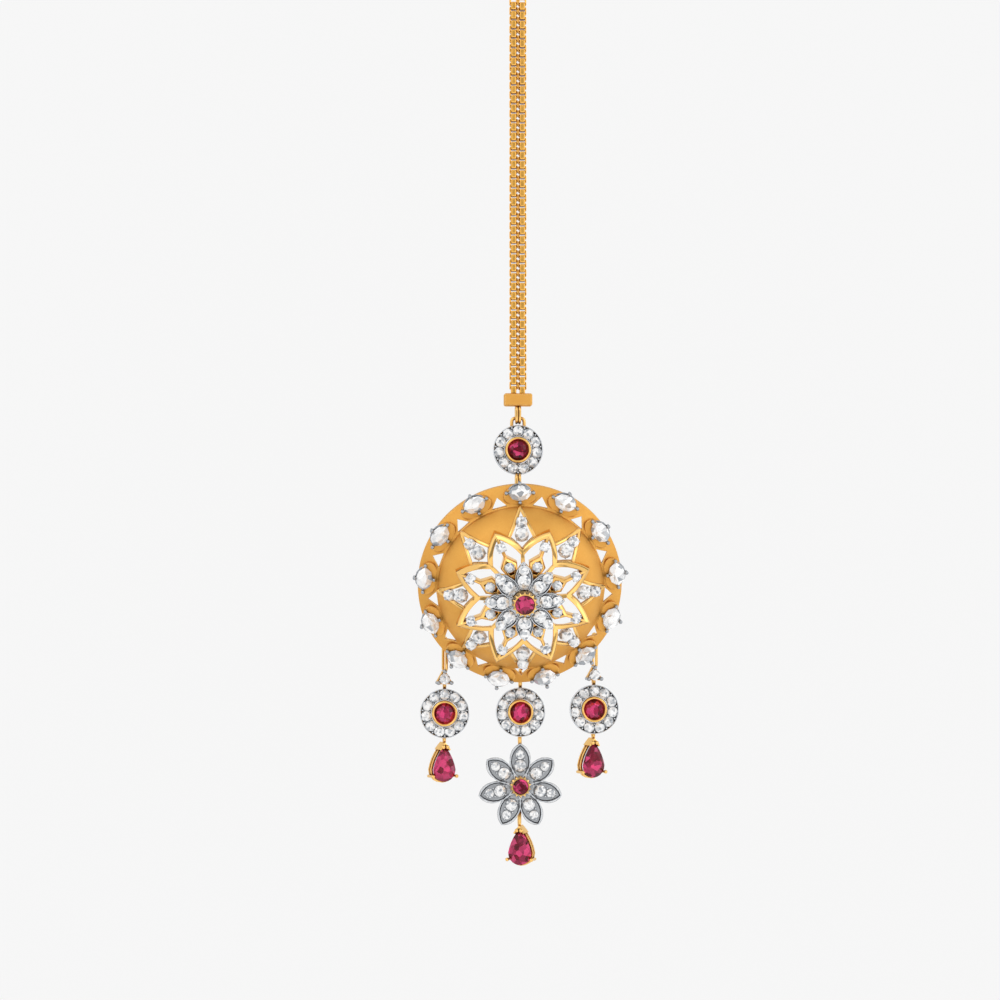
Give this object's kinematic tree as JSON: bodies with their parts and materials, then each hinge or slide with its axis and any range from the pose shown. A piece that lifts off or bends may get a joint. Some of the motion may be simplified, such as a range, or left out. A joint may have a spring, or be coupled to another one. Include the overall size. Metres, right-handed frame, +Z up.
{
  "type": "maang tikka",
  "caption": "Hair ornament: a domed gold medallion with a wire lotus, stone-set rim and hanging ruby drops, on a two-strand chain with a hook.",
  "frame": {"origin": "inside of the hair hook's bend, where the jewel hangs in the hair", "axes": "+Z up along the chain, -Y the way the jewel's face looks, +X to the right of someone looking at it"},
  "size_m": [0.0344, 0.023, 0.1568],
  "materials": {
    "satin_gold": "satin",
    "polished_gold": "polished",
    "chain_gold": "polished",
    "rhodium": "polished",
    "ruby": "gloss",
    "diamond": "gloss"
  },
  "bodies": {
    "chain_body": {"hair_hook": "polished_gold", "chain_strand_left": "chain_gold", "chain_strand_right": "chain_gold", "chain_bar": "satin_gold"},
    "upper_cluster": {"top_halo": "rhodium", "top_bezel": "polished_gold", "top_ruby": "ruby"},
    "medallion_body": {"medallion_plate": "satin_gold", "lotus_frame": "polished_gold", "kite_settings": "rhodium", "petal_settings": "rhodium", "floret": "rhodium", "floret_claws": "polished_gold", "floret_ruby": "ruby", "rim_settings": "rhodium", "rim_stone_01": "diamond", "rim_stone_02": "diamond", "rim_stone_03": "diamond", "rim_stone_04": "diamond", "rim_stone_05": "diamond", "rim_stone_06": "diamond", "rim_stone_07": "diamond", "rim_stone_08": "diamond", "rim_stone_09": "diamond", "rim_stone_10": "diamond", "rim_stone_11": "diamond", "rim_stone_12": "diamond", "rim_stone_13": "diamond", "left_claw_setting": "polished_gold", "left_claw_diamond": "diamond", "left_halo": "rhodium", "left_bezel": "polished_gold", "left_ruby": "ruby", "left_pear_basket": "polished_gold", "left_pear": "ruby", "right_claw_setting": "polished_gold", "right_claw_diamond": "diamond", "right_halo": "rhodium", "right_bezel": "polished_gold", "right_ruby": "ruby", "right_pear_basket": "polished_gold", "right_pear": "ruby", "centre_halo": "rhodium", "centre_bezel": "polished_gold", "centre_ruby": "ruby", "centre_pear_basket": "polished_gold", "centre_pear": "ruby", "flower": "rhodium", "flower_claws": "polished_gold", "flower_ruby": "ruby"}
  },
  "joints": [
    {"name": "station_swing", "type": "hinge", "parent": "chain_body", "child": "upper_cluster", "pos_m": [0, 0, -0.08342], "axis": [1, 0, 0], "range_deg": [-35, 35]},
    {"name": "pendant_swing", "type": "hinge", "parent": "upper_cluster", "child": "medallion_body", "pos_m": [0, 0, -0.09417], "axis": [1, 0, 0], "range_deg": [-35, 35]}
  ]
}
